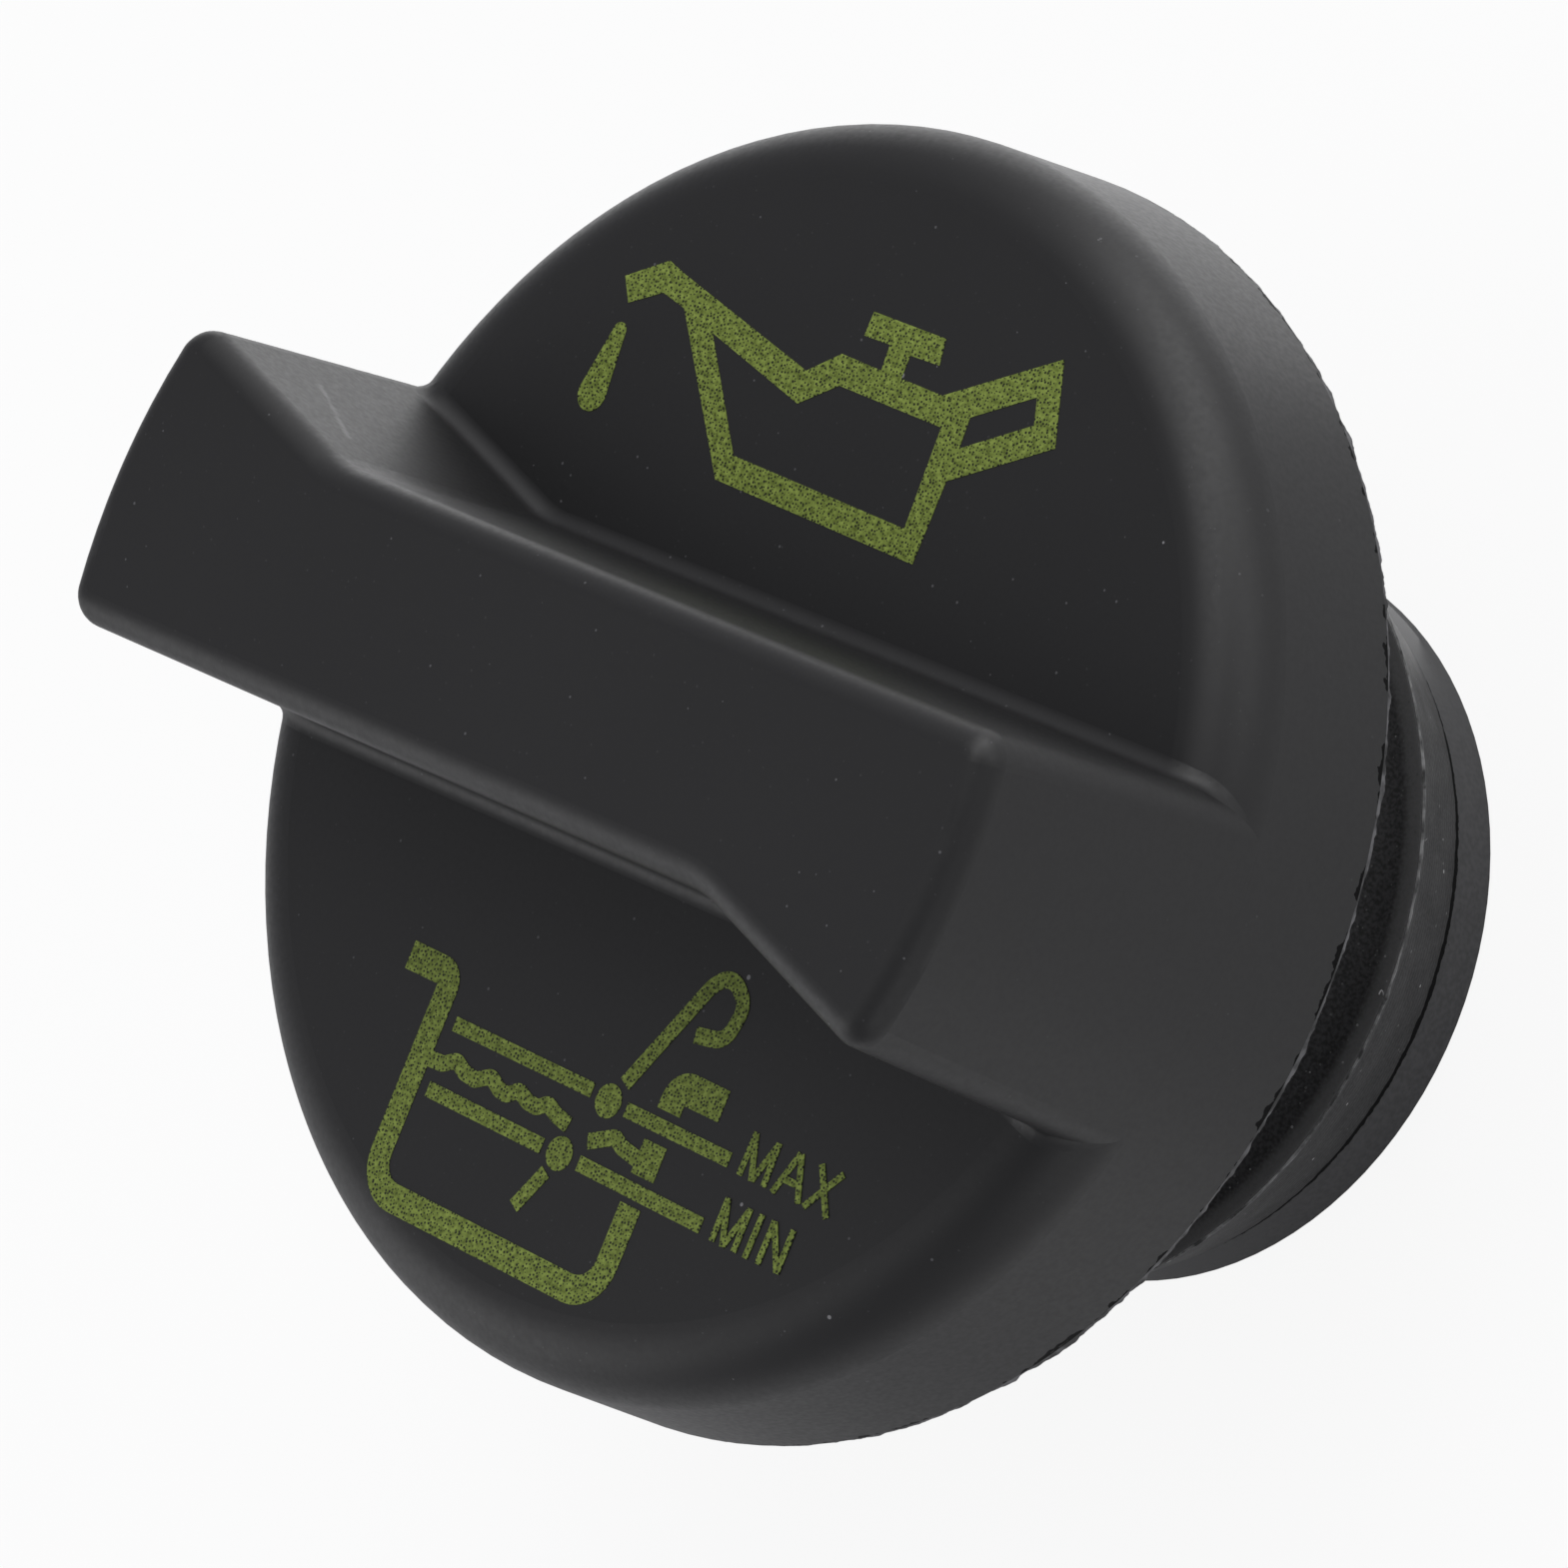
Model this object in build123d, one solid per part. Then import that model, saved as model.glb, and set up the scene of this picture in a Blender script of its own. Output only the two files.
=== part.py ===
from build123d import *
import math
import os

# Push-in oil filler cap in millimetres: a moulded knob with a grip bar and a hollow spigot,
# and a rubber lip seal on the spigot. Z is the cap's axis, X runs along the grip bar,
# and z = 0 is the flat end of the spigot, on which the cap can stand.

# Head, from its rear rim to the flat face that the bar stands on
head_r = 31.0  # at the rear rim, the widest place
head_draft = 3.1  # degrees that the outer wall leans in
face_height = 10.2  # rear rim to face
face_edge_r = 3.4  # round between the face and the outer wall

# Grip bar, with one flared flank at each end for the finger that turns the cap open
bar_height = 14.7  # face to the top of the bar
bar_width = 11.4  # across the straight flanks, at the top
bar_draft = 3.0  # degrees that the flanks lean in
flare_start = 15.4  # axis to the start of a flare
flare_angle = 17.8  # degrees that a flare turns out
flare_blend_r = 4.0  # soft bend where a flare starts
bar_corner_r = 1.7  # upright corners at the ends
bar_top_r = 1.4  # round along the top edges
bar_foot_r = 0.9  # hollow round where the bar meets the face
bar_inset = 0.003  # the bar's ends stand in from the head's outer wall by this
foot_inset = 0.03  # the same for the bar that the hollow round is rolled around

# Hollow underside
wall = 2.6  # thickness of the face, the outer wall and the bar's flanks
rib_count = 6
rib_thickness = 1.8
rib_clear = 2.6  # rear rim to the lower edge of the ribs
hollow_bevel = 0.8  # under the face, beside the outer wall

# Spigot
spigot_length = 25.2  # rear rim to the spigot's end
seat_r = 15.2  # groove that the seal is stretched into
spigot_wall = 2.6  # at the seal's seat, its thinnest place
end_step = 3.1  # end flange beyond the seat, which keeps the seal on
end_r = seat_r + end_step
end_height = 3.2
end_bevel = 0.3  # at the very end

# Lip seal
seal_height = 12.8
sleeve_wall = 1.8  # thickness of the rubber on the seat
neck_r = seat_r + sleeve_wall  # above the lip, level with the spigot's shoulder
lip_reach = 4.0  # lip beyond the sleeve, under a hollow neck of this radius
lip_r = neck_r + lip_reach
lip_height = 9.4  # spigot's end to the lip
lip_land = 0.3  # thickness of the lip's edge
toe_step = 0.2  # lower end of the cone, beyond the end flange
toe_r = end_r + toe_step
toe_bevel = 0.25  # leaves a fine groove between seal and flange

# Heights
rim_z = spigot_length
face_z = rim_z + face_height
top_z = face_z + bar_height
ceiling_z = face_z - wall
seal_top_z = end_height + seal_height
root_z = rim_z - face_height  # the bar is drawn from below the head, so that its foot closes on itself
bore_r = seat_r - spigot_wall
bottom = (Align.CENTER, Align.CENTER, Align.MIN)


def wall_r(z):
    """Radius of the head's outer wall, which the ends of the bar carry on upward."""
    return head_r - (z - rim_z) * math.tan(math.radians(head_draft))


def turned(*points):
    """Ring with the outline given as (radius, height) points."""
    return revolve(make_face(Plane.XZ * Polyline(*points, close=True)), Axis.Z)


def drum(radius, low, high):
    return Pos(0, 0, low) * Cylinder(radius, high - low, align=bottom)


def bar_outline(z):
    """The bar's plan at height z, longer than the head. It looks the same after half a turn."""
    half = bar_width / 2 + (top_z - z) * math.tan(math.radians(bar_draft))
    reach = 1.3 * head_r
    tip = half + (reach - flare_start) * math.tan(math.radians(flare_angle))
    side = [(reach, half), (-flare_start, half), (-reach, tip)]
    plan = make_face(Polyline(*side, *[(-x, -y) for x, y in side], close=True))
    bends = plan.vertices().filter_by(lambda v: math.isclose(abs(v.X), flare_start))
    return fillet(bends, flare_blend_r)


def rising(plan, low, high):
    """Solid over the plan, its flanks leaning in by the bar's draft."""
    return extrude(Pos(0, 0, low) * plan, high - low, taper=bar_draft)


def cone(inset, low, high):
    """Everything inside the head's outer wall, less the inset."""
    height = high - low
    shape = Cone(wall_r(low) - inset, wall_r(high) - inset, height, align=bottom)
    return Pos(0, 0, low) * shape


# Head: a turned disc with a rounded edge
profile = make_face(
    Plane.XZ
    * Polyline((0, rim_z), (head_r, rim_z), (wall_r(face_z), face_z), (0, face_z), close=True)
)
edge = [v for v in profile.vertices() if v.X > 0.5 * head_r and v.Z > rim_z + 0.5 * face_height]
profile = fillet(edge, face_edge_r)
disc = revolve(profile, Axis.Z)

# Bar: the plan carried up from below the head, to be trimmed by the head's own wall
long_bar = rising(bar_outline(root_z), root_z, top_z)


def bar_within(inset):
    """The bar inside the head's outer wall less the inset, its upright corners rounded."""
    bar = long_bar & cone(inset, root_z, top_z)
    upright = bar.edges().filter_by(lambda e: e.bounding_box().size.Z > 0.8 * (top_z - root_z))
    corners = upright.filter_by(lambda e: math.hypot(e.center().X, e.center().Y) > 0.85 * head_r)
    return fillet(corners, bar_corner_r)


# Hollow round at the bar's foot: one closed line along the face, over the head's rounded edge
# and across the bar's ends, where it runs out
inner_bar = bar_within(foot_inset)
head = disc + inner_bar
joint = new_edges(disc, inner_bar, combined=head)
foot = joint.filter_by(lambda e: e.center().Z > rim_z + 0.5 * face_height)
head = fillet(foot, bar_foot_r)

# The bar's ends brought out to the wall, its top edges rounded, its root cut off at the rear rim
head = head + bar_within(bar_inset)
head = fillet(head.faces().sort_by(Axis.Z)[-1].edges(), bar_top_r)
head = head & (Pos(0, 0, rim_z) * Box(4 * head_r, 4 * head_r, 2 * (top_z - rim_z), align=bottom))

# Spigot: end flange, seat of the seal, and a shoulder that runs up into the head
spigot = turned(
    (0, 0),
    (end_r - end_bevel, 0),
    (end_r, end_bevel),
    (end_r, end_height),
    (seat_r, end_height),
    (seat_r, seal_top_z),
    (neck_r, seal_top_z),
    (neck_r, ceiling_z + wall / 2),
    (0, ceiling_z + wall / 2),
)

# Hollow underside: a ring beside the spigot and the inside of the bar, parted by the spigot's wall
ring = cone(wall, rim_z, ceiling_z)
ring = chamfer(ring.faces().sort_by(Axis.Z)[-1].edges(), hollow_bevel)
core = rising(offset(bar_outline(rim_z), -wall, kind=Kind.INTERSECTION), rim_z, top_z - wall)
core = core & cone(wall, rim_z, top_z - wall)
tube = drum(neck_r, rim_z, top_z) - drum(bore_r, rim_z, top_z)
rib = Box(head_r - bore_r, rib_thickness, face_height, align=(Align.MIN, Align.CENTER, Align.MIN))
rib = Pos((bore_r + neck_r) / 2, 0, rim_z + rib_clear) * rib
turns = [(i + 0.5) * 360 / rib_count for i in range(rib_count)]
hollow = ring + core - tube - [Rot(0, 0, turn) * rib for turn in turns]
bore = drum(bore_r, 0, ceiling_z)

cap_body = head + spigot - hollow - bore

# Seal: sleeve in the groove, a sharp lip under a hollow neck, and a cone that leads it in
sleeve = Plane.XZ * (
    Polyline(
        (neck_r, lip_height + lip_reach),
        (neck_r, seal_top_z),
        (seat_r, seal_top_z),
        (seat_r, end_height),
        (toe_r, end_height),
        (lip_r, lip_height - lip_land),
        (lip_r, lip_height),
    )
    + RadiusArc((lip_r, lip_height), (neck_r, lip_height + lip_reach), lip_reach)
)
section = make_face(sleeve)
toe = [v for v in section.vertices() if math.isclose(v.X, toe_r)]
section = chamfer(toe, toe_bevel)
lip_seal = revolve(section, Axis.Z)

os.makedirs("parts", exist_ok=True)
export_step(cap_body, "parts/cap_body.step")
export_step(lip_seal, "parts/lip_seal.step")
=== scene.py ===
import math

import bmesh
import bpy
from mathutils import Euler, Matrix, Vector


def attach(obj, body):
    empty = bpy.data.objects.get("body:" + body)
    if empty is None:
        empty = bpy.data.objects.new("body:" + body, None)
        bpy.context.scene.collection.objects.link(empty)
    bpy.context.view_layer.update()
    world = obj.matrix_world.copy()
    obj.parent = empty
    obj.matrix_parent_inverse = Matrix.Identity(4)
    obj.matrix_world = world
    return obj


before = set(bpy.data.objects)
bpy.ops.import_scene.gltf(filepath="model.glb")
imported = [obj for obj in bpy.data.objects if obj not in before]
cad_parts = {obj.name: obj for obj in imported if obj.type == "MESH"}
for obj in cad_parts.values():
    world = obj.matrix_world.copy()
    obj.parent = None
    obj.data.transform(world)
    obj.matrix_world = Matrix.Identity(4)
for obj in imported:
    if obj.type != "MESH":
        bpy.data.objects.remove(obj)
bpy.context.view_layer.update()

MM = 0.001

# Places on the cap, in millimetres above the spigot's end or out from the axis
FACE = 35.4  # flat face that the signs are printed on
RIM = 25.2  # rear rim of the head
RIM_R = 31.0
LIP = 9.25  # edge of the seal's lip
LIP_R = 21.0
TOE = 3.2  # where the seal meets the spigot's end
SCUFF = (-23.8, 8.67, 44.7), (-18.8, 7.0, 46.5)  # ends of a rubbed streak on a flare
PRINT_TURN = -0.9  # degrees that the print sits askew on the face

# Sockets of a Mix node that lays one colour over another
SHARE, UNDER, OVER = 0, 6, 7
MIXED = 2


def linear(code):
    """Linear colour from an sRGB hex value."""
    parts = [int(code[i : i + 2], 16) / 255 for i in (1, 3, 5)]
    return (*(c / 12.92 if c <= 0.04045 else ((c + 0.055) / 1.055) ** 2.4 for c in parts), 1.0)


def add(tree, kind, inputs=(), **settings):
    """Adds a node, sets it up, and sets or links its inputs. Returns its outputs."""
    node = tree.nodes.new(kind)
    for key, value in settings.items():
        setattr(node, key, value)
    for key, value in dict(inputs).items():
        for item in value if isinstance(value, list) else [value]:
            if isinstance(item, bpy.types.NodeSocket):
                tree.links.new(item, node.inputs[key])
            else:
                node.inputs[key].default_value = item
    return node.outputs


def finish_named(name):
    """An empty material, and its tree."""
    made = bpy.data.materials.new(name)
    made.use_nodes = True
    made.node_tree.nodes.clear()
    return made, made.node_tree


def height_and_radius(tree, place):
    """Height above the spigot's end, and distance from the axis."""
    height = add(tree, "ShaderNodeSeparateXYZ", {0: place})["Z"]
    across = add(tree, "ShaderNodeVectorMath", {0: place, 1: (1, 1, 0)}, operation="MULTIPLY")["Vector"]
    return height, add(tree, "ShaderNodeVectorMath", {0: across}, operation="LENGTH")["Value"]


def patchy(tree, place, size, spread, ends, detail=3.0, seed=None):
    """A value that wanders from one end to the other in patches of the given size. The spread is the part of
    the noise that runs between the ends."""
    inputs, dimensions = {"Vector": place, "Scale": 1 / size, "Detail": detail}, "3D"
    if seed is not None:
        inputs["W"], dimensions = seed, "4D"
    noise = add(tree, "ShaderNodeTexNoise", inputs, noise_dimensions=dimensions)[0]
    return add(
        tree,
        "ShaderNodeMapRange",
        {
            "Value": noise,
            "From Min": spread[0],
            "From Max": spread[1],
            "To Min": ends[0],
            "To Max": ends[1],
        },
    )[0]


def dust_specks(tree, place, spacing, size):
    """Mask of round specks, about one in two cells of the given spacing, of uneven size."""
    cells = add(tree, "ShaderNodeTexVoronoi", {"Vector": place, "Scale": 1 / spacing})
    chance = add(tree, "ShaderNodeSeparateColor", {0: cells["Color"]})[0]
    reach = 2 * size / spacing
    edge = add(tree, "ShaderNodeMath", {0: chance, 1: reach, 2: -reach / 2}, operation="MULTIPLY_ADD")[0]
    return add(tree, "ShaderNodeMath", {0: cells["Distance"], 1: edge}, operation="LESS_THAN")[0]


def scuff_mark(tree, place, start, end, half):
    """Mask of one rubbed streak between two points, with frayed sides."""
    length = math.dist(start, end)
    along = tuple((e - s) / length for s, e in zip(start, end))
    away = add(tree, "ShaderNodeVectorMath", {0: place, 1: start}, operation="SUBTRACT")["Vector"]
    reach = add(tree, "ShaderNodeVectorMath", {0: away, 1: along}, operation="DOT_PRODUCT")["Value"]
    held = add(tree, "ShaderNodeClamp", {"Value": reach, "Min": 0.0, "Max": length})[0]
    nearest = add(tree, "ShaderNodeVectorMath", {0: along, "Scale": held}, operation="SCALE")["Vector"]
    gap = add(tree, "ShaderNodeVectorMath", {0: away, 1: nearest}, operation="DISTANCE")["Value"]
    frayed = patchy(tree, place, 0.7 * MM, (0.35, 0.65), (0.4 * half, 1.6 * half), detail=4.0)
    outward = add(tree, "ShaderNodeMath", {0: gap, 1: frayed}, operation="DIVIDE")[0]
    return add(tree, "ShaderNodeMapRange", {"Value": outward, "To Min": 1.0, "To Max": 0.0})[0]


def polyamide():
    """Glass-filled polyamide from a spark-eroded tool: near black and satin, with a fine dull grain, pale
    dust on what faces up, a rubbed streak on one flare, an end band greyed by dust and by painted light,
    dark marks along the parting line at the rear rim that are partly torn chips and partly painted shadow
    under the flash, and a line of painted shade under the seal's toe."""
    made, tree = finish_named("moulded_polyamide")
    spot = add(tree, "ShaderNodeTexCoord")
    place = spot["Object"]
    height, radius = height_and_radius(tree, place)
    # Grain of about 0.1 mm, drawn at 0.3 mm so that it shows
    grain = add(tree, "ShaderNodeTexNoise", {"Vector": place, "Scale": 1 / (0.3 * MM), "Detail": 2.0})[0]
    cloud = add(tree, "ShaderNodeTexNoise", {"Vector": place, "Scale": 1 / (14 * MM), "Detail": 3.0})[0]
    blacks = {SHARE: cloud, UNDER: linear("#0e0e0f"), OVER: linear("#141415")}
    tone = add(tree, "ShaderNodeMix", blacks, data_type="RGBA")[MIXED]

    # The spigot's end band is never wiped and is greyer: partly dust, and partly painted light that stands
    # in for the light the floor keeps from it
    grained = add(tree, "ShaderNodeMapRange", {"Value": grain, "From Min": 0.35, "From Max": 0.65})[0]
    greys = {SHARE: grained, UNDER: linear("#3b3b3c"), OVER: linear("#474748")}
    dust_and_light_grey = add(tree, "ShaderNodeMix", greys, data_type="RGBA")[MIXED]
    end_band_dust_and_light = add(
        tree,
        "ShaderNodeMapRange",
        {"Value": height, "From Min": (TOE - 0.1) * MM, "From Max": TOE * MM, "To Min": 0.9, "To Max": 0.0},
    )[0]
    tone = add(tree, "ShaderNodeMix", {SHARE: end_band_dust_and_light, UNDER: tone, OVER: dust_and_light_grey}, data_type="RGBA")[MIXED]

    # Specks have settled there and on what faces up
    rise = add(tree, "ShaderNodeSeparateXYZ", {0: spot["Normal"]})["Z"]
    upward = add(
        tree,
        "ShaderNodeMapRange",
        {"Value": rise, "From Min": 0.3, "From Max": 0.8, "To Min": 0.15, "To Max": 1.0},
    )[0]
    pale_share = add(tree, "ShaderNodeMath", {0: upward, 1: end_band_dust_and_light}, operation="MAXIMUM")[0]
    for spacing, size, pale in ((0.4, 0.06, "#2c2c2d"), (0.9, 0.08, "#4c4c4e"), (2.4, 0.12, "#7a7a7c")):
        specks = dust_specks(tree, place, spacing * MM, size * MM)
        shown = add(tree, "ShaderNodeMath", {0: specks, 1: pale_share}, operation="MULTIPLY")[0]
        layers = {SHARE: shown, UNDER: tone, OVER: linear(pale)}
        tone = add(tree, "ShaderNodeMix", layers, data_type="RGBA")[MIXED]

    start, end = [tuple(c * MM for c in point) for point in SCUFF]
    streak = scuff_mark(tree, place, start, end, 0.26 * MM)
    layers = {SHARE: streak, UNDER: tone, OVER: linear("#4e4e4f")}
    tone = add(tree, "ShaderNodeMix", layers, data_type="RGBA")[MIXED]

    # Dark marks reach up from the rim by up to 0.4 mm, on the outer wall alone: partly torn chips, partly
    # painted shadow under the torn flash
    frayed = patchy(tree, place, 0.4 * MM, (0.3, 0.7), (-0.1 * MM, 0.1 * MM))
    chip_shadow_reach = patchy(tree, place, 1.8 * MM, (0.46, 0.62), ((RIM - 0.05) * MM, (RIM + 0.3) * MM), seed=1.0)
    edge = add(tree, "ShaderNodeMath", {0: chip_shadow_reach, 1: frayed}, operation="ADD")[0]
    low = add(tree, "ShaderNodeMath", {0: height, 1: edge}, operation="LESS_THAN")[0]
    outside = add(tree, "ShaderNodeMath", {0: radius, 1: (RIM_R - 0.12) * MM}, operation="GREATER_THAN")[0]
    chips_and_shade = add(tree, "ShaderNodeMath", {0: low, 1: outside}, operation="MULTIPLY")[0]

    # Painted shade under the seal's toe, where it meets the spigot's end, in a line about 0.4 mm high
    wavy = add(tree, "ShaderNodeMath", {0: frayed, 1: 0.5, 2: height}, operation="MULTIPLY_ADD")[0]
    line = {0: wavy, 1: (TOE - 0.17) * MM, 2: 0.2 * MM}
    toe_shade = add(tree, "ShaderNodeMath", line, operation="COMPARE")[0]

    # The dark rim marks and the painted shade under the toe are black and hardly shine, and the end band
    # shines less than the rest
    painted_shade_black = add(tree, "ShaderNodeMath", {0: chips_and_shade, 1: toe_shade}, operation="MAXIMUM")[0]
    half_dull = add(tree, "ShaderNodeMath", {0: end_band_dust_and_light, 1: 0.5}, operation="MULTIPLY")[0]
    dull = add(tree, "ShaderNodeMath", {0: painted_shade_black, 1: half_dull}, operation="MAXIMUM")[0]
    layers = {SHARE: painted_shade_black, UNDER: tone, OVER: linear("#0c0c0c")}
    tone = add(tree, "ShaderNodeMix", layers, data_type="RGBA")[MIXED]
    shine = add(tree, "ShaderNodeMapRange", {"Value": dull, "To Min": 0.43, "To Max": 0.05})[0]
    satin = add(
        tree,
        "ShaderNodeMapRange",
        {"Value": grain, "From Min": 0.3, "From Max": 0.7, "To Min": 0.44, "To Max": 0.52},
    )[0]
    bump = add(tree, "ShaderNodeBump", {"Height": grain, "Strength": 0.06, "Distance": 0.03 * MM})[0]
    skin = add(
        tree,
        "ShaderNodeBsdfPrincipled",
        {"Base Color": tone, "Roughness": satin, "IOR": 1.53, "Specular IOR Level": shine, "Normal": bump},
    )[0]
    add(tree, "ShaderNodeOutputMaterial", {"Surface": skin})
    return made


def nitrile():
    """Nitrile rubber from a turned tool: black and duller than the plastic, with faint rings left by the
    tool's lathe marks, much pale dust, a greyed lip edge, painted light where the hollow neck faces up by
    the lip, and a dark line of painted shade where it meets the spigot's end."""
    made, tree = finish_named("moulded_nitrile")
    spot = add(tree, "ShaderNodeTexCoord")
    place = spot["Object"]
    height, radius = height_and_radius(tree, place)
    # Dull bloom in grains of about 0.1 mm, drawn at 0.18 mm so that they show
    bloom = add(tree, "ShaderNodeTexNoise", {"Vector": place, "Scale": 1 / (0.18 * MM), "Detail": 2.0})[0]
    grained = add(tree, "ShaderNodeMapRange", {"Value": bloom, "From Min": 0.38, "From Max": 0.62})[0]
    blacks = {SHARE: grained, UNDER: linear("#202020"), OVER: linear("#323233")}
    tone = add(tree, "ShaderNodeMix", blacks, data_type="RGBA")[MIXED]

    # The last 0.2 mm of the lip are greyed
    greyed = add(
        tree,
        "ShaderNodeMapRange",
        {"Value": radius, "From Min": (LIP_R - 0.2) * MM, "From Max": LIP_R * MM, "To Max": 0.3},
    )[0]
    layers = {SHARE: greyed, UNDER: tone, OVER: linear("#5a5a5a")}
    tone = add(tree, "ShaderNodeMix", layers, data_type="RGBA")[MIXED]

    # Painted light: the hollow neck is lighter where it faces up by the lip, as if lit from above
    rise = add(tree, "ShaderNodeSeparateXYZ", {0: spot["Normal"]})["Z"]
    pale_share = add(
        tree,
        "ShaderNodeMapRange",
        {"Value": rise, "From Min": 0.97, "From Max": 1.0, "To Max": 0.65},
    )[0]
    layers = {SHARE: pale_share, UNDER: tone, OVER: linear("#5e5e5e")}
    tone = add(tree, "ShaderNodeMix", layers, data_type="RGBA")[MIXED]
    for spacing, size, pale in ((0.3, 0.07, "#454545"), (0.7, 0.08, "#6c6c6c"), (1.3, 0.14, "#a8a8a8")):
        specks = dust_specks(tree, place, spacing * MM, size * MM)
        layers = {SHARE: specks, UNDER: tone, OVER: linear(pale)}
        tone = add(tree, "ShaderNodeMix", layers, data_type="RGBA")[MIXED]

    # Painted shade above the toe, where the seal meets the spigot's end, is black and hardly shines
    reach = patchy(tree, place, 0.9 * MM, (0.35, 0.65), ((TOE + 0.25) * MM, (TOE + 0.42) * MM))
    toe_shade = add(tree, "ShaderNodeMath", {0: height, 1: reach}, operation="LESS_THAN")[0]
    layers = {SHARE: toe_shade, UNDER: tone, OVER: linear("#060606")}
    tone = add(tree, "ShaderNodeMix", layers, data_type="RGBA")[MIXED]
    shine = add(tree, "ShaderNodeMapRange", {"Value": toe_shade, "To Min": 0.17, "To Max": 0.02})[0]
    matt = patchy(tree, place, 2 * MM, (0.3, 0.7), (0.46, 0.56), detail=4.0)

    # Lathe marks of about 0.1 mm, drawn at 0.35 mm so that they show
    rings = add(
        tree,
        "ShaderNodeTexWave",
        {"Vector": place, "Scale": math.tau / 20 / (0.35 * MM), "Distortion": 1.5, "Detail": 2.0},
        bands_direction="Z",
    )[1]
    uneven = add(tree, "ShaderNodeMath", {0: bloom, 1: 3.0, 2: rings}, operation="MULTIPLY_ADD")[0]
    bump = add(tree, "ShaderNodeBump", {"Height": uneven, "Strength": 0.15, "Distance": 0.03 * MM})[0]
    skin = add(
        tree,
        "ShaderNodeBsdfPrincipled",
        {"Base Color": tone, "Roughness": matt, "IOR": 1.52, "Specular IOR Level": shine, "Normal": bump},
    )[0]
    add(tree, "ShaderNodeOutputMaterial", {"Surface": skin})
    return made


def print_ink():
    """Pad-printing ink: a thin matt film of olive green, mottled, with many dark pinholes where the grain
    below it wasn't wetted."""
    made, tree = finish_named("pad_print_ink")
    place = add(tree, "ShaderNodeTexCoord")["Object"]
    mottle = patchy(tree, place, 0.3 * MM, (0.3, 0.7), (0.0, 1.0))
    greens = {SHARE: mottle, UNDER: linear("#546120"), OVER: linear("#8d9f49")}
    tone = add(tree, "ShaderNodeMix", greens, data_type="RGBA")[MIXED]

    # Pinholes 0.21 mm apart, of uneven size, with soft edges
    cells = add(
        tree,
        "ShaderNodeTexVoronoi",
        {"Vector": place, "Scale": 1 / (0.21 * MM), "Randomness": 0.8},
        voronoi_dimensions="2D",
    )
    chance = add(tree, "ShaderNodeSeparateColor", {0: cells["Color"]})[0]
    size = add(tree, "ShaderNodeMapRange", {"Value": chance, "To Min": 0.15, "To Max": 0.32})[0]
    inside = add(tree, "ShaderNodeMath", {0: size, 1: cells["Distance"]}, operation="SUBTRACT")[0]
    hole = add(tree, "ShaderNodeMapRange", {"Value": inside, "From Min": -0.05, "From Max": 0.05})[0]
    layers = {SHARE: hole, UNDER: tone, OVER: linear("#181c0c")}
    tone = add(tree, "ShaderNodeMix", layers, data_type="RGBA")[MIXED]
    dents = {"Height": hole, "Strength": 0.3, "Distance": 0.02 * MM}
    bump = add(tree, "ShaderNodeBump", dents, invert=True)[0]
    skin = add(
        tree,
        "ShaderNodeBsdfPrincipled",
        {"Base Color": tone, "Roughness": 0.55, "IOR": 1.48, "Specular IOR Level": 0.3, "Normal": bump},
    )[0]
    add(tree, "ShaderNodeOutputMaterial", {"Surface": skin})
    return made


def torn_flash(name, pale, dark):
    """Flash torn off at a parting line: thin, stretched and paler than the moulding that it grew on."""
    made, tree = finish_named(name)
    place = add(tree, "ShaderNodeTexCoord")["Object"]
    tears = patchy(tree, place, 0.8 * MM, (0.38, 0.62), (0.0, 1.0), seed=14.0)
    layers = {SHARE: tears, UNDER: linear(dark), OVER: linear(pale)}
    tone = add(tree, "ShaderNodeMix", layers, data_type="RGBA")[MIXED]
    skin = add(tree, "ShaderNodeBsdfPrincipled", {"Base Color": tone, "Roughness": 0.6, "IOR": 1.53})[0]
    add(tree, "ShaderNodeOutputMaterial", {"Surface": skin})
    return made


def new_tree(name, **sockets):
    """A Geometry Nodes tree with the given inputs. Returns it with its entry node."""
    tree = bpy.data.node_groups.new(name, "GeometryNodeTree")
    for label, kind in sockets.items():
        tree.interface.new_socket(label, in_out="INPUT", socket_type="NodeSocket" + kind)
    tree.interface.new_socket("Geometry", in_out="OUTPUT", socket_type="NodeSocketGeometry")
    return tree, add(tree, "NodeGroupInput")


def close_tree(tree, geometry, material):
    """Ends a Geometry Nodes tree with a plain mesh in the given material."""
    whole = add(tree, "GeometryNodeRealizeInstances", {0: geometry})
    painted = add(tree, "GeometryNodeSetMaterial", {"Geometry": whole[0], "Material": material})
    add(tree, "NodeGroupOutput", {0: painted[0]})
    return tree


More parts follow.
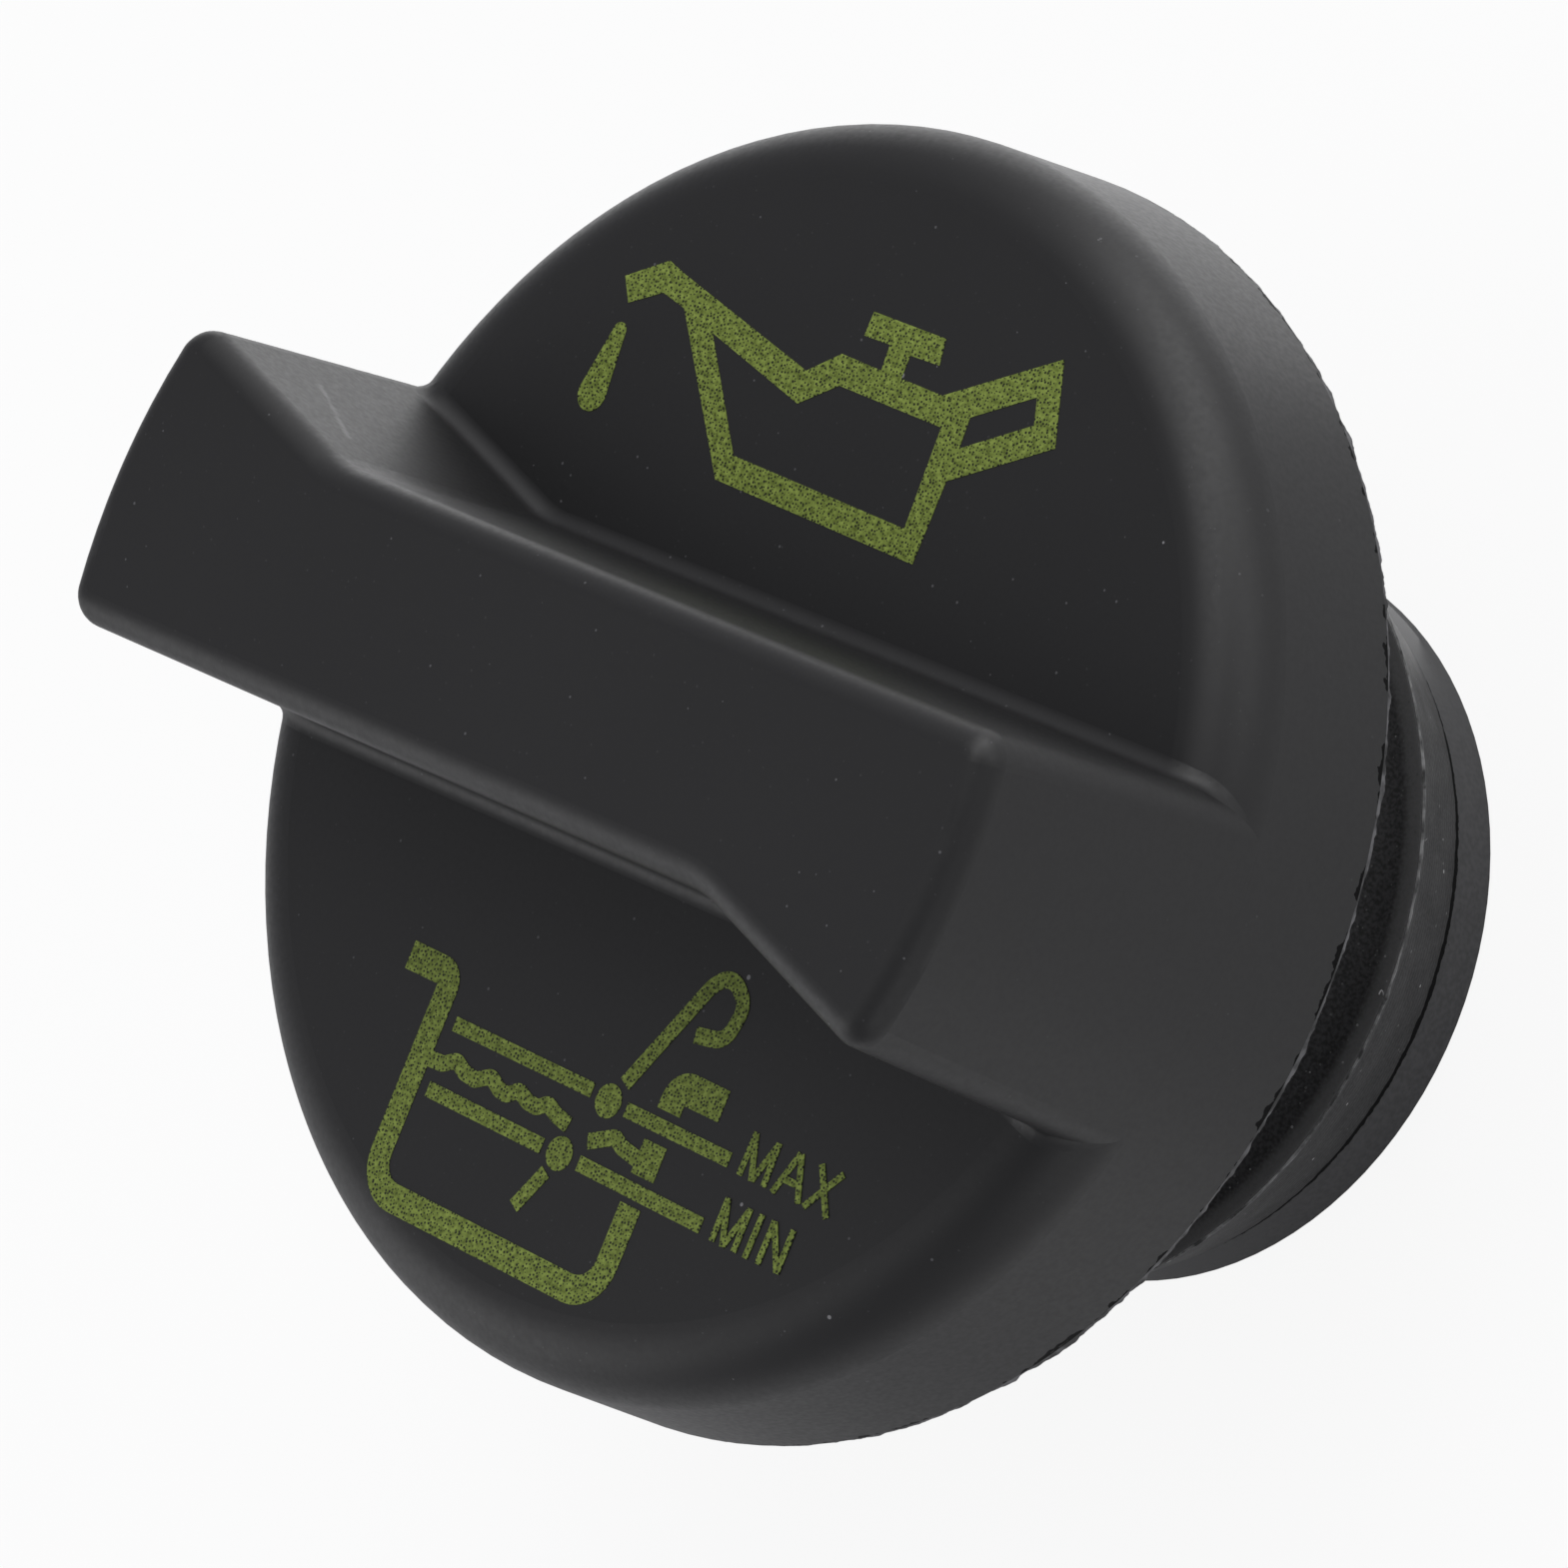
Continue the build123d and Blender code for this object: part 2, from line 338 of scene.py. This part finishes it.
def ink_print_tree():
    """Film of ink on a flat face: closed outlines are filled, and open lines become strokes."""
    tree, entry = new_tree(
        "ink_print", Geometry="Geometry", Film="Float", Corner_steps="Int", Material="Material"
    )
    bend = add(tree, "GeometryNodeInputNamedAttribute", {"Name": "bend"}, data_type="FLOAT")
    half = add(tree, "GeometryNodeInputNamedAttribute", {"Name": "half_width"}, data_type="FLOAT")
    lines = add(tree, "GeometryNodeMeshToCurve", {"Mesh": entry["Geometry"]})
    rounded = add(
        tree,
        "GeometryNodeFilletCurve",
        {
            "Curve": lines[0],
            "Count": entry["Corner_steps"],
            "Radius": bend[0],
            "Limit Radius": True,
        },
        mode="POLY",
    )
    closed = add(tree, "GeometryNodeInputSplineCyclic")
    parted = add(
        tree,
        "GeometryNodeSeparateGeometry",
        {"Geometry": rounded[0], "Selection": closed[0]},
        domain="CURVE",
    )
    filled = add(tree, "GeometryNodeFillCurve", {"Curve": parted[0]}, mode="TRIANGLES")
    level = add(tree, "GeometryNodeSetCurveNormal", {"Curve": parted[1]}, mode="Z_UP")
    nib = add(tree, "GeometryNodeCurvePrimitiveLine", {"Start": (-1, 0, 0), "End": (1, 0, 0)})
    strokes = add(
        tree,
        "GeometryNodeCurveToMesh",
        {"Curve": level[0], "Profile Curve": nib[0], "Scale": half[0]},
    )
    flat = add(tree, "GeometryNodeJoinGeometry", {0: [filled[0], strokes[0]]})
    raised = add(
        tree,
        "GeometryNodeExtrudeMesh",
        {"Mesh": flat[0], "Offset": (0, 0, 1), "Offset Scale": entry["Film"], "Individual": False},
        mode="FACES",
    )
    both = add(tree, "GeometryNodeJoinGeometry", {0: [raised[0], flat[0]]})
    return close_tree(tree, both[0], entry["Material"])


def flash_fin_tree():
    """Ragged fin round a ring, of uneven height. It points down, or out by its lean."""
    tree, entry = new_tree(
        "flash_fin",
        Radius="Float",
        Ring_height="Float",
        Steps="Int",
        Shortest="Float",
        Tallest="Float",
        Tear="Float",
        Lean="Float",
        Seed="Float",
        Material="Material",
    )
    ring = add(
        tree,
        "GeometryNodeCurvePrimitiveCircle",
        {"Resolution": entry["Steps"], "Radius": entry["Radius"]},
    )
    lift = add(tree, "ShaderNodeCombineXYZ", {2: entry["Ring_height"]})
    placed = add(tree, "GeometryNodeTransform", {"Geometry": ring[0], "Translation": lift[0]})
    level = add(tree, "GeometryNodeSetCurveNormal", {"Curve": placed[0]}, mode="Z_UP")
    spot = add(tree, "GeometryNodeInputPosition")
    often = add(tree, "ShaderNodeMath", {0: 1.0, 1: entry["Tear"]}, operation="DIVIDE")
    tear = add(
        tree,
        "ShaderNodeTexNoise",
        {"Vector": spot[0], "W": entry["Seed"], "Scale": often[0], "Detail": 4.0},
        noise_dimensions="4D",
    )
    height = add(
        tree,
        "ShaderNodeMapRange",
        {
            "Value": tear[0],
            "From Min": 0.42,
            "From Max": 0.8,
            "To Min": entry["Shortest"],
            "To Max": entry["Tallest"],
        },
    )
    # Unit section: a root across the edge and a narrow tip
    section = add(
        tree,
        "GeometryNodeCurvePrimitiveQuadrilateral",
        {
            "Point 1": (0.12, -0.3, 0),
            "Point 2": (-0.12, -0.3, 0),
            "Point 3": (-0.1, 1, 0),
            "Point 4": (0.1, 1, 0),
        },
        mode="POINTS",
    )
    outward = add(tree, "ShaderNodeMath", {0: entry["Lean"], 1: -1.0}, operation="MULTIPLY")
    lean = add(tree, "ShaderNodeCombineXYZ", {2: outward[0]})
    leaning = add(tree, "GeometryNodeTransform", {"Geometry": section[0], "Rotation": lean[0]})
    fin = add(
        tree,
        "GeometryNodeCurveToMesh",
        {"Curve": level[0], "Profile Curve": leaning[0], "Scale": height[0]},
    )
    return close_tree(tree, fin[0], entry["Material"])


def curl_tree():
    """Thin curls of torn rubber that hang on a ring at random places."""
    tree, entry = new_tree(
        "lip_curls",
        Radius="Float",
        Ring_height="Float",
        Curls="Int",
        Curl_radius="Float",
        Thickness="Float",
        Seed="Int",
        Material="Material",
    )
    points = add(tree, "GeometryNodePoints", {"Count": entry["Curls"]})
    # Inputs 2 and 3 and output 1 of a Random Value node are those for plain numbers
    round_to = add(tree, "FunctionNodeRandomValue", {2: 0.0, 3: math.tau, "Seed": entry["Seed"]})
    sine = add(tree, "ShaderNodeMath", {0: round_to[1]}, operation="SINE")
    cosine = add(tree, "ShaderNodeMath", {0: round_to[1]}, operation="COSINE")
    along = add(tree, "ShaderNodeCombineXYZ", {0: cosine[0], 1: sine[0]})
    out = add(tree, "ShaderNodeVectorMath", {0: along[0], "Scale": entry["Radius"]}, operation="SCALE")
    lift = add(tree, "ShaderNodeCombineXYZ", {2: entry["Ring_height"]})
    spot = add(tree, "ShaderNodeVectorMath", {0: out[0], 1: lift[0]})
    placed = add(tree, "GeometryNodeSetPosition", {"Geometry": points[0], "Position": spot[0]})
    arc = add(
        tree,
        "GeometryNodeCurveArc",
        {"Resolution": 9, "Radius": entry["Curl_radius"], "Sweep Angle": math.radians(150)},
    )
    hair = add(tree, "GeometryNodeCurvePrimitiveCircle", {"Resolution": 5, "Radius": entry["Thickness"]})
    curl = add(
        tree,
        "GeometryNodeCurveToMesh",
        {"Curve": arc[0], "Profile Curve": hair[0], "Fill Caps": True},
    )
    root = add(tree, "ShaderNodeCombineXYZ", {0: entry["Curl_radius"]})
    back = add(tree, "ShaderNodeVectorMath", {0: root[0], "Scale": -1.0}, operation="SCALE")
    rooted = add(tree, "GeometryNodeTransform", {"Geometry": curl[0], "Translation": back[0]})
    turn = add(
        tree,
        "FunctionNodeRandomValue",
        {0: (0, 0, 0), 1: (math.tau, math.tau, math.tau), "Seed": entry["Seed"]},
        data_type="FLOAT_VECTOR",
    )
    size = add(tree, "FunctionNodeRandomValue", {2: 0.35, 3: 1.0, "Seed": entry["Seed"]})
    curls = add(
        tree,
        "GeometryNodeInstanceOnPoints",
        {
            "Points": placed[0],
            "Instance": rooted[0],
            "Rotation": turn[0],
            "Scale": size[1],
        },
    )
    return close_tree(tree, curls[0], entry["Material"])


def grown(name, tree, values, source=None, place=Matrix.Identity(4)):
    """A plain mesh piece of the cap from a Geometry Nodes tree, set in its place."""
    seed = bpy.data.objects.new(name + "_seed", source or bpy.data.meshes.new(name))
    bpy.context.scene.collection.objects.link(seed)
    nodes = seed.modifiers.new("grow", "NODES")
    nodes.node_group = tree
    for item in tree.interface.items_tree:
        if item.in_out == "INPUT" and item.name in values:
            nodes[item.identifier] = values[item.name]
    bpy.context.view_layer.update()
    ready = seed.evaluated_get(bpy.context.evaluated_depsgraph_get())
    mesh = bpy.data.meshes.new_from_object(ready)
    bpy.data.objects.remove(seed)
    mesh.name = name
    mesh.transform(place)
    mesh.materials.clear()
    mesh.materials.append(values["Material"])
    shape = bmesh.new()
    shape.from_mesh(mesh)
    bmesh.ops.remove_doubles(shape, verts=shape.verts, dist=1e-4 * MM)
    bmesh.ops.recalc_face_normals(shape, faces=shape.faces)
    for face in shape.faces:
        face.material_index = 0
        face.smooth = False
    shape.to_mesh(mesh)
    shape.free()
    piece = bpy.data.objects.new(name, mesh)
    bpy.context.scene.collection.objects.link(piece)
    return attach(piece, "root")


def circle(x, y, radius, count=28):
    """Points round a dot or a drop's end."""
    turns = [math.tau * i / count for i in range(count)]
    return [(x + radius * math.cos(t), y + radius * math.sin(t)) for t in turns]


def artwork(name, outlines, strokes):
    """Edges for the ink tree, in millimetres: outlines are closed and filled. A stroke is a list of points,
    its half width or one for each point, and the radius of its bends."""
    points, edges, halves, bends = [], [], [], []
    for loop in outlines:
        first = len(points)
        points += [(x, y, 0) for x, y in loop]
        edges += [(first + i, first + (i + 1) % len(loop)) for i in range(len(loop))]
        halves += [0] * len(loop)
        bends += [0] * len(loop)
    # Each stroke lies a micron above the one before, so that strokes that cross don't share a plane
    for step, (line, half, bend) in enumerate(strokes):
        first = len(points)
        points += [(x, y, 0.001 * (step + 1)) for x, y in line]
        edges += [(first + i, first + i + 1) for i in range(len(line) - 1)]
        halves += half if isinstance(half, list) else [half] * len(line)
        bends += bend if isinstance(bend, list) else [bend] * len(line)
    mesh = bpy.data.meshes.new(name)
    mesh.from_pydata([[c * MM for c in p] for p in points], edges, [])
    for label, values in (("half_width", halves), ("bend", bends)):
        mesh.attributes.new(label, "FLOAT", "POINT").data.foreach_set("value", [v * MM for v in values])
    return mesh


# Oil can with a drop at its spout
can_outline = [
    (-17.17, 18.45), (-14.76, 19.90), (-13.65, 19.60), (-3.77, 17.51), (-2.03, 18.86), (0.69, 18.82),
    (0.60, 20.07), (-1.15, 20.02), (-1.13, 21.22), (3.76, 21.28), (3.99, 20.02), (2.05, 19.95),
    (2.07, 18.82), (4.88, 18.80), (11.08, 22.38), (12.62, 18.48), (7.13, 15.24), (7.11, 11.14),
    (-6.59, 11.22), (-12.70, 18.06), (-14.38, 18.38), (-16.31, 17.32),
]  # fmt: skip
can_inside = [(-10.38, 17.50), (-3.50, 15.94), (-1.43, 17.44), (5.57, 17.42), (5.80, 12.51), (-6.09, 12.58)]
can_handle = [(7.01, 18.34), (10.41, 20.33), (10.89, 19.10), (7.11, 16.85)]
drop_top, drop_foot = (-16.15, 15.95), (-16.3, 12.75)
oil_can = artwork(
    "oil_can_lines",
    [can_outline, can_inside, can_handle, circle(*drop_top, 0.42), circle(*drop_foot, 0.92)],
    [([drop_top, drop_foot], [0.42, 0.92], 0)],
)

# Sump with its oil level, the dipstick through the two marks, and the words of the marks
wave = [
    (-9.9, -19.03), (-8.81, -18.98), (-7.99, -18.55), (-7.27, -18.89), (-6.43, -18.98), (-5.52, -18.5),
    (-4.77, -18.88), (-4.15, -18.95), (-3.53, -18.5), (-2.74, -18.8), (-2.06, -18.85), (-1.45, -18.45),
    (-0.75, -18.75), (0.25, -18.93),
]  # fmt: skip
letters = [
    [(11.4, -17.5), (11.46, -15.38)], [(11.46, -15.45), (12.24, -17.5)], [(12.24, -17.5), (13.0, -15.45)],
    [(13.0, -15.38), (13.06, -17.5)],
    [(13.69, -17.55), (14.47, -15.38)], [(14.53, -15.38), (15.42, -17.5)], [(14.05, -16.74), (15.1, -16.74)],
    [(15.9, -15.38), (17.35, -17.53)], [(17.37, -15.38), (15.8, -17.5)],
    [(11.35, -20.77), (11.36, -18.64)], [(11.36, -18.7), (12.11, -20.77)], [(12.11, -20.77), (12.87, -18.7)],
    [(12.87, -18.64), (12.87, -20.77)],
    [(13.7, -18.64), (13.66, -20.79)],
    [(14.52, -20.77), (14.54, -18.64)], [(14.56, -18.7), (15.8, -20.72)], [(15.82, -18.64), (15.82, -20.77)],
]  # fmt: skip
pan_bends = [0, 0.7, 1.8, 1.8, 0]
oil_level = artwork(
    "oil_level_lines",
    [circle(2.05, -17.1, 0.83), circle(0.4, -20.3, 0.83)],
    [
        ([(-13.5, -15.0), (-10.4, -15.0), (-10.4, -25.7), (5.85, -25.7), (5.85, -21.0)], 0.7, pan_bends),
        ([(5.85, -19.6), (5.85, -17.9)], 0.77, 0),
        ([(5.85, -16.35), (5.85, -15.0), (8.95, -15.0)], 0.77, 0.8),
        ([(-9.06, -17.03), (0.85, -16.98)], 0.36, 0),
        ([(3.28, -17.1), (10.5, -17.08)], 0.36, 0),
        ([(-9.1, -20.34), (-0.82, -20.35)], 0.38, 0),
        ([(1.75, -20.3), (10.4, -20.35)], 0.38, 0),
        (wave, 0.39, 0.45),
        ([(1.8, -19.2), (2.65, -18.8), (3.34, -18.46), (3.95, -18.75), (5.3, -18.95)], 0.39, 0.45),
        ([(-1.06, -23.45), (0.02, -21.35)], 0.38, 0),
        (
            [(2.62, -16.05), (5.4, -10.3), (6.35, -9.3), (7.85, -10.4), (7.5, -12.3), (5.6, -12.6)],
            0.4,
            [0, 1.2, 1.0, 1.0, 1.0, 0],
        ),
    ]
    + [(line, 0.17, 0) for line in letters],
)

plastic, rubber, ink = polyamide(), nitrile(), print_ink()
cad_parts["cap_body"].material_slots[0].material = plastic
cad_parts["lip_seal"].material_slots[0].material = rubber

film = {"Film": 0.03 * MM, "Corner_steps": 8, "Material": ink}
on_face = Matrix.Translation((0, 0, (FACE - 0.005) * MM)) @ Matrix.Rotation(math.radians(PRINT_TURN), 4, "Z")
ink_tree = ink_print_tree()
grown("sign_oil_can", ink_tree, film, oil_can, on_face)
grown("sign_oil_level", ink_tree, film, oil_level, on_face)

fin_tree = flash_fin_tree()
rim_flash = grown(
    "rim_flash",
    fin_tree,
    {
        "Radius": (RIM_R - 0.06) * MM,
        "Ring_height": RIM * MM,
        "Steps": 1800,
        "Shortest": 0.15 * MM,
        "Tallest": 0.52 * MM,
        "Tear": 1.2 * MM,
        "Lean": 0.0,
        "Seed": 59.0,
        "Material": torn_flash("torn_polyamide_flash", "#5c5c5e", "#1a1a1b"),
    },
)
rubber_flash = torn_flash("torn_nitrile_flash", "#969696", "#3c3c3c")
lip_flash = grown(
    "lip_flash",
    fin_tree,
    {
        "Radius": LIP_R * MM,
        "Ring_height": LIP * MM,
        "Steps": 1000,
        "Shortest": 0.08 * MM,
        "Tallest": 0.22 * MM,
        "Tear": 1.5 * MM,
        "Lean": math.radians(80),
        "Seed": 8.0,
        "Material": rubber_flash,
    },
)
curls = grown(
    "lip_curls",
    curl_tree(),
    {
        "Radius": LIP_R * MM,
        "Ring_height": LIP * MM,
        "Curls": 16,
        "Curl_radius": 0.5 * MM,
        "Thickness": 0.035 * MM,
        "Seed": 5,
        "Material": rubber_flash,
    },
)


def floor_paper():
    """White paper that keeps a faint shadow. Seen from below, it lets the view through."""
    made, tree = finish_named("white_floor")
    path = add(tree, "ShaderNodeLightPath")
    straight = {0: path["Is Camera Ray"], 1: path["Is Transmission Ray"]}
    seen = add(tree, "ShaderNodeMath", straight, operation="MAXIMUM")[0]
    seen_white = add(tree, "ShaderNodeMath", {0: seen, 1: 0.9}, operation="MULTIPLY")[0]
    mirrored = add(tree, "ShaderNodeMath", {0: path["Is Glossy Ray"], 1: 0.1}, operation="MULTIPLY")[0]
    white = add(tree, "ShaderNodeMath", {0: seen_white, 1: mirrored}, operation="MAXIMUM")[0]
    paper = add(tree, "ShaderNodeBsdfDiffuse", {"Color": linear("#f2f2f2")})[0]
    glow = add(tree, "ShaderNodeEmission", {"Color": linear("#ffffff"), "Strength": 1.0})[0]
    above = add(tree, "ShaderNodeMixShader", {0: white, 1: paper, 2: glow})[0]
    clear = add(tree, "ShaderNodeBsdfTransparent")[0]
    below = add(tree, "ShaderNodeNewGeometry")["Backfacing"]
    skin = add(tree, "ShaderNodeMixShader", {0: below, 1: above, 2: clear})[0]
    add(tree, "ShaderNodeOutputMaterial", {"Surface": skin})
    return made


FLOOR_HALF = 3.0  # half its width, in metres
floor_mesh = bpy.data.meshes.new("floor")
corners = [(-1, -1), (1, -1), (1, 1), (-1, 1)]
floor_mesh.from_pydata([(FLOOR_HALF * x, FLOOR_HALF * y, 0) for x, y in corners], [], [(0, 1, 2, 3)])
floor_mesh.materials.append(floor_paper())
floor = bpy.data.objects.new("floor", floor_mesh)
bpy.context.scene.collection.objects.link(floor)
floor.location.z = -0.05 * MM

world = bpy.data.worlds.new("studio")
bpy.context.scene.world = world
world.use_nodes = True
world.node_tree.nodes["Background"].inputs["Color"].default_value = linear("#a2a2a6")


def soft_box(name, size, watts, place, back):
    """A soft box of the given width and depth, its back turned to the given direction."""
    data = bpy.data.lights.new(name, "AREA")
    data.shape, data.energy = "RECTANGLE", watts
    data.size, data.size_y = size
    lamp = bpy.data.objects.new(name, data)
    bpy.context.scene.collection.objects.link(lamp)
    lamp.location = place
    lamp.rotation_euler = back.to_track_quat("Z", "Y").to_euler()
    lamp.visible_camera = False


# Soft boxes round the cap. Azimuth counts from +X to +Y, and lengths are in metres.
BOX = 0.5
BOX_AWAY = 0.8
for name, azimuth, elevation, watts in (
    ("key_low", 90, 20, 2.2),
    ("key_high", 90, 55, 1.77),
    ("side", 45, 20, 1.1),
    ("front", 330, 20, 0.6),
    ("fill_low", 225, 20, 1.0),
    ("fill_high", 225, 55, 0.35),
):
    turn, rise = math.radians(azimuth), math.radians(elevation)
    away = Vector((math.cos(rise) * math.cos(turn), math.cos(rise) * math.sin(turn), math.sin(rise)))
    soft_box(name, (BOX, BOX), watts, Vector((0, 0, FACE * MM)) + BOX_AWAY * away, away)

# White cards that lie on the floor and throw the light back up: behind the cap, in front of it, and a
# small one beside the spigot
for name, size, watts, x, y in (
    ("floor_card", (0.18, 0.13), 0.062, -0.08, 0.09),
    ("front_card", (0.06, 0.05), 0.0026, 0.06, -0.045),
    ("spigot_card", (0.022, 0.02), 0.0011, 0.001, 0.0265),
):
    soft_box(name, size, watts, Vector((x, y, 1 * MM)), Vector((0, 0, -1)))

# Camera at the photograph's viewing angle, with its place in millimetres
lens = bpy.data.cameras.new("camera")
lens.lens = 227.43
lens.sensor_width = 36.0
lens.clip_start, lens.clip_end = 0.01, 20.0
camera = bpy.data.objects.new("camera", lens)
bpy.context.scene.collection.objects.link(camera)
camera.location = Vector((316.828, 13.129, 365.326)) * MM
camera.rotation_euler = Euler([math.radians(a) for a in (17.6093, 40.3665, 28.6075)])
bpy.context.scene.camera = camera
bpy.context.scene.view_settings.view_transform = "Standard"
